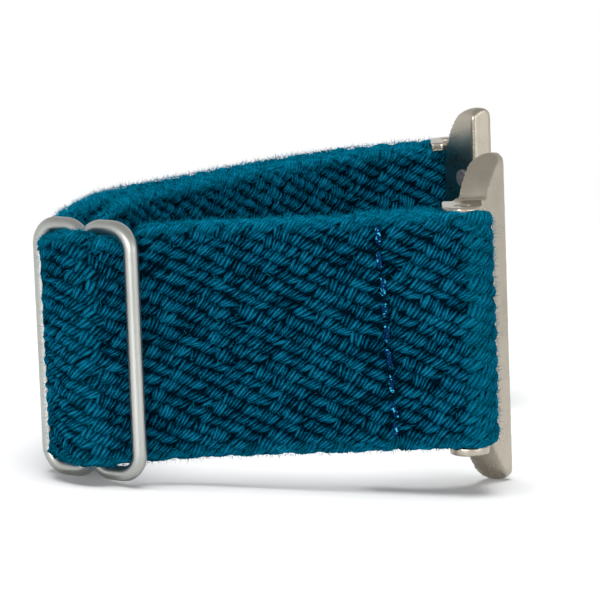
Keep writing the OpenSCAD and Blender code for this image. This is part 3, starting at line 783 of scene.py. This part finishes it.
def spring(name, node, joint, material, share=1.0):
    """The part of a coil spring that a joint presses, cut off at its share and closed."""
    obj = merged(node, name, material)
    axis = Vector(JOINTS[joint]["axis"])
    along = [axis.dot(v.co) for v in obj.data.vertices]
    middle = sum((v.co for v in obj.data.vertices), Vector()) / len(along)
    pressed = middle + axis * (min(along) - axis.dot(middle))
    held = pressed + axis * (max(along) - min(along)) * share
    if share < 1.0:
        shape = bmesh.new()
        shape.from_mesh(obj.data)
        parts = shape.verts[:] + shape.edges[:] + shape.faces[:]
        cut = bmesh.ops.bisect_plane(shape, geom=parts, plane_co=held, plane_no=axis, clear_outer=True)
        rim = [x for x in cut["geom_cut"] if isinstance(x, bmesh.types.BMEdge)]
        bmesh.ops.triangle_fill(shape, edges=rim, use_beauty=True)
        bmesh.ops.recalc_face_normals(shape, faces=shape.faces)
        shape.to_mesh(obj.data)
        shape.free()
    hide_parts(node)
    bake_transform(obj)


def cast(node, material, grain):
    """A copy of a node, rounded at every edge and corner like a polished casting, that stands for it."""
    obj = merged(node, node + "_cast", material)
    remesh = obj.modifiers.new("Grain", "REMESH")
    remesh.mode, remesh.voxel_size = "VOXEL", grain
    smooth = obj.modifiers.new("Round", "SMOOTH")
    smooth.factor, smooth.iterations = CAST_FACTOR, CAST_PASSES
    obj.data = finished(obj)
    obj.data.shade_smooth()
    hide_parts(node)
    return obj


def paint_node(node, material):
    obj = frame["nodes"][node]
    obj.data.materials.clear()
    obj.data.materials.append(material)


# Cloth pieces

def tie(obj, section):
    """Lets a cloth piece ride on its body, or, where it spans two bodies, bakes its place into its mesh."""
    body = SECTIONS[section][1]
    if isinstance(body, str):
        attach(obj, body)
    else:
        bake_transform(obj)


def core_mesh(section, sink, material):
    """The strap's core under the yarn, as a closed skin with its fray marked."""
    start, end = COURSE.ends[section]
    rows, around = int((end - start) / CORE_STEP), CORE_AROUND
    grid_s, grid_q = np.meshgrid(np.linspace(start, end, rows + 1), np.arange(around) / around, indexing="ij")
    thick = COURSE.at(grid_s)[1]
    p, n, *_ = COURSE.surface(grid_s, grid_q, np.minimum(sink, thick * CORE_SINK))
    points = row_points(press_in(p, CORE_SPARE).reshape(-1, 3))
    faces = [(i * around + j, i * around + (j + 1) % around,
              (i + 1) * around + (j + 1) % around, (i + 1) * around + j)
             for i in range(rows) for j in range(around)]
    faces.append(tuple(reversed(range(around))))
    faces.append(tuple(range(rows * around, (rows + 1) * around)))
    mesh = make_mesh(section + "_core", points, faces)
    upper = FRAY_LOW + (1 - FRAY_LOW) * np.clip(FRAY_RISE * n[..., 2], 0, 1)
    fray = FRAY_LEAST + upper * softness(grid_s, p, n) ** FRAY_POWER
    for bar in (NEAR_BAR, FAR_BAR):
        fray = fray * (np.linalg.norm(p[..., :2] - bar, axis=-1) > FOLD_R)
    put_attribute(mesh, "fray", "FLOAT", fray.ravel())
    mesh.materials.append(material)
    return mesh


def ply_sites(look):
    """Every ply of the braid, as place, directions and size, in level millimetres."""
    rng = np.random.default_rng(BRAID_SEED)
    rib, cell = look.rib_pitch / MM, look.cell_length / MM
    lean, lay = look.rib_lean, look.ply_lean
    step = cell * math.cos(lean)
    i, j = np.meshgrid(np.arange(RIBS), np.arange(int(COURSE.length / step) + 2), indexing="ij")
    s = step * (j + (i * CELL_SHIFT % RIBS) / RIBS)
    i, s = i.ravel(), s.ravel()
    keep = s < COURSE.length
    i, s = i[keep], s[keep]
    v = rib * i + math.tan(lean) * s
    count = np.where(rng.random(len(s)) < 0.5, MOST_PLIES, LEAST_PLIES)
    twist = rng.normal(0, math.radians(BUNDLE_TWIST), len(s))
    plump = rng.normal(0, BUNDLE_PLUMP, len(s))
    jog = rng.normal(0, BUNDLE_JOG, (len(s), 2))
    tint = rng.random(len(s))
    out = {k: [] for k in ("p", "n", "along", "size", "s", "dimple_and_shade", "soft", "cell")}
    for k in range(MOST_PLIES):
        use = k < count
        place = ((k + 0.5) / count - 0.5)[use]
        d = place * cell * BUNDLE_SPREAD
        ss = s[use] + d * math.cos(lean) + jog[use, 0] + rng.normal(0, PLY_JOG_ALONG, len(d))
        vv = v[use] + d * math.sin(lean) + jog[use, 1] + rng.normal(0, PLY_JOG_ROUND, len(d))
        inside = (ss > BRAID_END) & (ss < COURSE.length - BRAID_END)
        ss, vv, place = ss[inside], vv[inside], place[inside]
        edge = 2 * np.abs(place)
        thick = COURSE.at(ss)[1]
        p, n, a, g, stretch = COURSE.surface(ss, vv / FULL_GIRTH, look.relief / MM)
        angle = lay + twist[use][inside] + rng.normal(0, math.radians(PLY_TWIST), len(ss))
        angle += place * math.radians(BUNDLE_FAN)
        along = -np.cos(angle)[:, None] * a + np.sin(angle)[:, None] * g
        wide = np.clip(stretch, *PLY_WIDE_RANGE) ** 0.5 * (MEAN_PLIES / count[use][inside])
        high = (1 + plump[use][inside]) * (1 - PLY_END_THIN * edge ** 2.2)
        high *= np.clip(thick / STRAP_T, *PLY_THIN_RANGE)
        long = (1 - PLY_END_SHORT * edge ** 2.5) * rng.normal(1, PLY_LONG, len(ss))
        long *= np.clip(stretch, *PLY_LONG_RANGE) ** 0.5
        # The seam's pull sinks the plies and also marks them for painted shade
        dimple_and_shade = seam_dimple(p)
        soft = softness(ss, p, n)
        p = press_in(p - n * dimple_and_shade[:, None] * look.seam_depth / MM, PLY_SPARE)
        size = np.stack([wide, long, high], 1)
        for key, value in zip(out, (p, n, along, size, ss, dimple_and_shade, soft, tint[use][inside])):
            out[key].append(value)
    return {k: np.concatenate(x) for k, x in out.items()}


def softness(s, p, n):
    """How much loose fibre veils the braid at each level point, from 0 to 1."""
    width, _, drop = COURSE.at(s)
    rim = np.clip(1 - (width / 2 - np.abs(p[..., 2] - drop)) / RIM_W, 0, 1) ** RIM_POWER
    bent = np.clip(np.abs(np.interp(s, COURSE.s, COURSE.curve)) / BEND_FULL - BEND_FREE, 0, 1)
    start, end = COURSE.ends["over_slide"]
    bent = np.where((s > start) & (s < end), SLIDE_SHARE * bent, bent)
    ends = [COURSE.ends[name] for name, _, _ in LOOSE]
    spots = [start + share * (end - start) for (start, end), (_, share, _) in zip(ends, LOOSE)]
    loose = np.interp(s, spots, [amount for _, _, amount in LOOSE], left=0)
    return np.clip(np.maximum(rim, BEND_SHARE * bent) + loose, 0, 1)


def seam_dimple(p):
    """How far a seam draws the cloth in at each level point, from 0 to 1, which the yarn paint also takes as
    painted shade.
    """
    hem = p[:, 0] - (NEAR_BAR[0] - SEAM_IN) + (SEAM_LEAN / STRAP_W) * p[:, 2]
    hem = np.where((p[:, 1] > -HEM_ROOM) & (p[:, 1] < 2 * STRAP_T + HEM_ROOM), hem, NO_SEAM)
    away = p[:, :2] - PLAN["seam"]
    end = np.where(np.abs(away @ left_of(END_H)) < END_ROOM, away @ heading(END_H), NO_SEAM)
    return np.exp(-((hem / DIMPLE_W) ** 2)) + np.exp(-((end / DIMPLE_W) ** 2))


def sites_mesh(name, sites, keep=slice(None)):
    """A mesh of points, each with the directions and size of what is laid on it."""
    mesh = make_mesh(name, row_points(sites["p"][keep]), [])
    put_attribute(mesh, "out", "FLOAT_VECTOR", row_vectors(sites["n"][keep]))
    put_attribute(mesh, "along", "FLOAT_VECTOR", row_vectors(sites["along"][keep]))
    put_attribute(mesh, "size", "FLOAT_VECTOR", sites["size"][keep])
    for label in ("dimple_and_shade", "soft", "cell"):
        if label in sites:
            put_attribute(mesh, label, "FLOAT", sites[label][keep])
    return mesh


# Settings

def colour(name, description, default):
    return FloatVectorProperty(name=name, description=description, subtype="COLOR", min=0, max=1,
                               default=default)


def length(name, description, default):
    return FloatProperty(name=name, description=description, unit="LENGTH", default=default, precision=5)


def angle(name, description, default):
    return FloatProperty(name=name, description=description, unit="ROTATION", default=math.radians(default))


class StrapLook(PropertyGroup):
    """Yarn, braid and thread of the strap"""
    yarn_colour: colour("Yarn", "Colour of the cotton yarn", (0.0, 0.055, 0.108))
    # The crest colour is a painted highlight and the crevice colour is painted shade between the yarns
    crest_highlight_colour: colour("Crest", "Colour of the yarn where it stands highest", (0.004, 0.142, 0.240))
    crevice_shade_colour: colour("Crevice", "Colour between the yarns", (0.0, 0.008, 0.016))
    fibre_colour: colour("Fibre", "Colour of the loose fibres", (0.001, 0.160, 0.255))
    thread_colour: colour("Thread", "Colour of the sewing thread", (0.0, 0.030, 0.115))
    # The glint colour is a painted highlight on the thread
    painted_glint_colour: colour("Glint", "Colour of the bright filaments in the thread", (0.05, 0.62, 0.90))
    rib_pitch: length("Rib Pitch", "Distance between ribs, measured across the strap", 1.4 * MM)
    cell_length: length("Cell Length", "Length of one bundle of plies along its rib", 2.0 * MM)
    rib_lean: angle("Rib Lean", "Angle of the ribs to the strap's length", 28)
    ply_lean: angle("Ply Lean", "Angle of the plies to the strap's length", 42)
    relief: length("Relief", "Depth of the yarn over the strap's core", 0.5 * MM)
    ply_length: length("Ply Length", "Length of one visible ply", 1.75 * MM)
    ply_width: length("Ply Width", "Width of one ply", 0.40 * MM)
    seam_depth: length("Seam Depth", "How far a seam draws the cloth in", 0.26 * MM)
    fibres: FloatProperty(name="Fibres", description="Loose fibres per square millimetre at the edges",
                          default=90.0, min=0)
    fibre_length: length("Fibre Length", "Length of a loose fibre", 0.55 * MM)


class MetalLook(PropertyGroup):
    """Finish of the slide and the lug adapters"""
    slide_colour: colour("Slide", "Colour of the satin slide", (0.43, 0.437, 0.412))
    adapter_colour: colour("Adapters", "Colour of the polished adapters", (0.44, 0.40, 0.33))
    grain: length("Grain", "Size of the cells in which the adapters are rounded", 0.16 * MM)


class StageLook(PropertyGroup):
    """Camera, lamps and floor"""
    distance: length("Distance", "From the camera to the near run", 0.42)
    elevation: angle("Elevation", "Height of the camera's view above the horizon", 10.2)
    roll: angle("Roll", "Turn of the camera about its own view", 2.55)
    lens: FloatProperty(name="Lens", description="Focal length", unit="CAMERA", default=254.5)
    aim_down: FloatProperty(name="Aim Down", default=38.3,
                            description="Pixels from the picture's middle down to the near run's middle")
    floor_colour: colour("Floor", "Colour of the floor", (0.76, 0.76, 0.76))


# Operators

class STRAP_OT_cloth(Operator):
    """Braid the strap, section by section"""
    bl_idname = "strap.cloth"
    bl_label = "Braid Strap"

    def execute(self, context):
        look = context.scene.strap_look
        core, yarn = core_shade_paint(look), yarn_paint(look)
        sites, tree = ply_sites(look), ply_tree()
        for section, (start, end) in COURSE.ends.items():
            keep = (sites["s"] >= start) & (sites["s"] < end)
            spots = new_object(section + "_sites", sites_mesh(section + "_sites", sites, keep))
            cloth = bake(section + "_cloth", core_mesh(section, look.relief / MM, core), tree, {
                "Sites": spots, "Ply Length": look.ply_length, "Ply Width": look.ply_width,
                "Rise": look.relief - look.ply_width / 2, "Yarn": yarn})
            bpy.data.objects.remove(spots)
            tie(cloth, section)
            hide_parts(SECTIONS[section][0])
        return {"FINISHED"}


class STRAP_OT_fibres(Operator):
    """Raise loose fibres on the strap"""
    bl_idname = "strap.fibres"
    bl_label = "Raise Fibres"

    def execute(self, context):
        look = context.scene.strap_look
        tree, paint = fibre_tree(), fibre_paint(look)
        bases = {section: core_mesh(section, SKIN_SINK, paint) for section in COURSE.ends}
        density = min(look.fibres / MM**2, MOST_FIBRES / sum(self.frayed(base) for base in bases.values()))
        for k, (section, base) in enumerate(bases.items()):
            fibres = bake(section + "_fibres", base, tree, {
                "Density": density, "Length": look.fibre_length, "Fibre": paint, "Seed": FIBRE_SEED + k})
            tie(fibres, section)
        return {"FINISHED"}

    def frayed(self, mesh):
        """Area of the mesh, weighed by its fray."""
        fray = np.empty(len(mesh.vertices), np.float32)
        mesh.attributes["fray"].data.foreach_get("value", fray)
        return sum(face.area * fray[list(face.vertices)].mean() for face in mesh.polygons)


class STRAP_OT_seams(Operator):
    """Sew the hem seam and the end seam"""
    bl_idname = "strap.seams"
    bl_label = "Sew Seams"

    def execute(self, context):
        tree, paint = stitch_tree(), thread_paint(context.scene.strap_look)
        lean = math.atan(SEAM_LEAN / STRAP_W)
        hem = self.row((NEAR_BAR[0] - SEAM_IN, 0.0), 0.0, lean, STRAP_W, 2 * STRAP_T + SEWN_GAP, 0.0)
        end_start = PLAN["seam"] - WRAP_T / 2 * left_of(END_H)
        end = self.row(end_start, END_H, 0.0, END_W, 2 * WRAP_T + SEWN_GAP, -SLIDE_DROP)
        for name, sites, body, node in (("hem_seam", hem, "strap", "hem_stitches"),
                                        ("end_seam", end, "slide", "end_stitches")):
            seam = bake(name, sites_mesh(name, sites), tree, {"Cotton": paint})
            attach(seam, body)
            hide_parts(node)
        return {"FINISHED"}

    def row(self, start, turn, lean, width, depth, drop):
        """Stitches down both faces of two sewn layers, in level millimetres."""
        rng = np.random.default_rng(SEAM_SEED)
        count = int((width - 2 * STRAP_T - STITCH_L) / STITCH_PITCH / 2)
        out = {k: [] for k in ("p", "n", "along", "size")}
        for side in (0, 1):
            face = np.array(start) + depth * side * left_of(turn)
            normal = (1 if side else -1) * left_of(turn)
            for k in range(-count, count + 1):
                z = k * STITCH_PITCH * SEAM_SPREAD + rng.normal(0, STITCH_JOG)
                shift = (rng.normal(0, STITCH_SHIFT) - math.tan(lean) * z) * heading(turn)
                out["p"].append([*(face + shift - normal * rng.uniform(*STITCH_SINK)), z + drop])
                out["n"].append([*normal, 0.0])
                tilt = rng.normal(0, STITCH_TILT)
                out["along"].append([*(-math.tan(lean + tilt) * heading(turn)), 1.0])
                out["size"].append([1.0, rng.normal(*STITCH_LONG), rng.normal(*STITCH_HIGH)])
        return {k: np.array(x) for k, x in out.items()}


class STRAP_OT_slide(Operator):
    """Finish the slide"""
    bl_idname = "strap.slide"
    bl_label = "Finish Slide"

    def execute(self, context):
        satin = satin_paint(context.scene.metal_look)
        for node in ("slide_frame", "slide_centre_bar"):
            paint_node(node, satin)
        return {"FINISHED"}


class STRAP_OT_adapters(Operator):
    """Finish the two lug adapters, their latches and their spring bars"""
    bl_idname = "strap.adapters"
    bl_label = "Finish Adapters"

    def execute(self, context):
        metal = context.scene.metal_look
        # The bars and their tips take steel painted dark as painted shade
        polished, wire, turned, pad = polished_paint(metal), spring_paint(), shaded_bar_paint(), pad_paint()
        for side in ("near", "far"):
            body = cast(f"{side}_adapter_body", polished, metal.grain)
            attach(body, f"{side}_adapter")
            for node, paint in (("latch_plunger", polished), ("latch_collar", polished), ("bar_barrel", turned),
                                ("bar_upper_tip", turned), ("bar_lower_tip", turned), ("friction_pads", pad)):
                paint_node(f"{side}_{node}", paint)
            spring(f"{side}_latch_coil", f"{side}_latch_spring", f"{side}_latch_press", wire)
            for end, share in TIP_SHARES.items():
                spring(f"{side}_{end}_bar_coil", f"{side}_bar_spring", f"{side}_{end}_tip_press", wire, share)
        return {"FINISHED"}


class STRAP_OT_stage(Operator):
    """Lay the floor, hang the lamps and set the camera"""
    bl_idname = "strap.stage"
    bl_label = "Set Stage"

    def execute(self, context):
        look = context.scene.stage_look
        self.floor(look)
        self.world(context)
        self.lamps()
        self.camera(context, look)
        context.scene.view_settings.view_transform = "Standard"
        return {"FINISHED"}

    def floor(self, look):
        corners = [(x * FLOOR_HALF, y * FLOOR_HALF, 0) for x, y in ((-1, -1), (1, -1), (1, 1), (-1, 1))]
        mesh = make_mesh("floor", corners, [(0, 1, 2, 3)])
        p = Paint("Pale floor", Roughness=0.9, Specular_IOR_Level=0.1)
        base = np.array(look.floor_colour)
        p.mottle(p.noise(30), base * 0.99, base)
        rays = p.add("ShaderNodeLightPath").outputs
        seen = p.most(p.most(rays["Is Camera Ray"], rays["Is Glossy Ray"]), rays["Is Transmission Ray"])
        away = p.feed("ShaderNodeVectorMath", {"operation": "LENGTH"}, p.position()).outputs["Value"]
        glow = p.add("ShaderNodeEmission", Strength=1.0)
        share = p.times(seen, p.remap(away, *FLOOR_WHITE))
        mix = p.feed("ShaderNodeMixShader", {}, share, p.shader, glow)
        p.join(mix, p.end.inputs["Surface"])
        mesh.materials.append(p.material)
        new_object("floor", mesh)

    def world(self, context):
        world = bpy.data.worlds.new("Studio")
        world.use_nodes = True
        context.scene.world = world
        world.node_tree.nodes.clear()
        w = Wiring(world.node_tree)
        rays = w.add("ShaderNodeLightPath").outputs
        where = w.add("ShaderNodeTexCoord").outputs["Generated"]
        aim = w.feed("ShaderNodeVectorMath", {"operation": "DOT_PRODUCT"}, where, ROOM_AIM)
        room = w.remap(aim.outputs["Value"], *ROOM_LIGHT)
        dome = w.remap(w.add("ShaderNodeSeparateXYZ", Vector=where).outputs["Z"], *DOME_LIGHT)
        seen = w.most(rays["Is Camera Ray"], rays["Is Transmission Ray"])
        light = w.add("ShaderNodeBackground", Color=ROOM_COLOUR, Strength=w.times(room, ROOM_POWER))
        back = w.add("ShaderNodeBackground", Color=(1, 1, 1, 1), Strength=w.most(seen, dome))
        shown = w.most(seen, rays["Is Glossy Ray"])
        mix = w.feed("ShaderNodeMixShader", {}, shown, light, back)
        w.add("ShaderNodeOutputWorld", Surface=mix)

    def lamps(self):
        for name, place, wide, high, power in LAMPS:
            data = bpy.data.lights.new(name, "AREA")
            data.shape, data.size, data.size_y, data.energy = "RECTANGLE", wide, high, power
            lamp = new_object(name, data)
            lamp.visible_glossy = name != "top_lamp"
            lamp.location = place
            lamp.rotation_euler = (Vector(LAMP_AIM) - lamp.location).to_track_quat("-Z", "Y").to_euler()

    def camera(self, context, look):
        data = bpy.data.cameras.new("camera")
        data.lens, data.sensor_width, (data.clip_start, data.clip_end) = look.lens, SENSOR_W, CLIP
        camera = context.scene.camera = new_object("camera", data)
        target = Vector(row_points([[0.0, 0.0, 0.0]])[0])
        back = Vector((0.0, -math.cos(look.elevation), math.sin(look.elevation)))
        camera.location = target + back * look.distance
        pixel = SENSOR_W / PICTURE_W / look.lens
        facing = (-back).to_track_quat("-Z", "Y").to_matrix()
        tip = Matrix.Rotation(math.atan(look.aim_down * pixel), 3, "X")
        camera.rotation_euler = (facing @ tip @ Matrix.Rotation(look.roll, 3, "Z")).to_euler()


class STRAP_PT_panel(Panel):
    """Steps that dress the strap"""
    bl_label = "Stretch Cotton Strap"
    bl_idname = "STRAP_PT_panel"
    bl_space_type = "VIEW_3D"
    bl_region_type = "UI"
    bl_category = "Strap"

    def draw(self, context):
        for step in STEPS:
            self.layout.operator(step)
        for name, look in LOOKS.items():
            box = self.layout.box()
            for setting in look.__annotations__:
                box.prop(getattr(context.scene, name), setting)


STEPS = ("strap.cloth", "strap.fibres", "strap.seams", "strap.slide", "strap.adapters", "strap.stage")
LOOKS = {"strap_look": StrapLook, "metal_look": MetalLook, "stage_look": StageLook}
CLASSES = (*LOOKS.values(), STRAP_OT_cloth, STRAP_OT_fibres, STRAP_OT_seams, STRAP_OT_slide,
           STRAP_OT_adapters, STRAP_OT_stage, STRAP_PT_panel)


def register():
    for item in CLASSES:
        bpy.utils.register_class(item)
    for name, look in LOOKS.items():
        setattr(bpy.types.Scene, name, PointerProperty(type=look))


def unregister():
    for name in LOOKS:
        delattr(bpy.types.Scene, name)
    for item in reversed(CLASSES):
        bpy.utils.unregister_class(item)


def main():
    register()
    for step in STEPS:
        group, name = step.split(".")
        getattr(getattr(bpy.ops, group), name)()


if __name__ == "__main__":
    main()
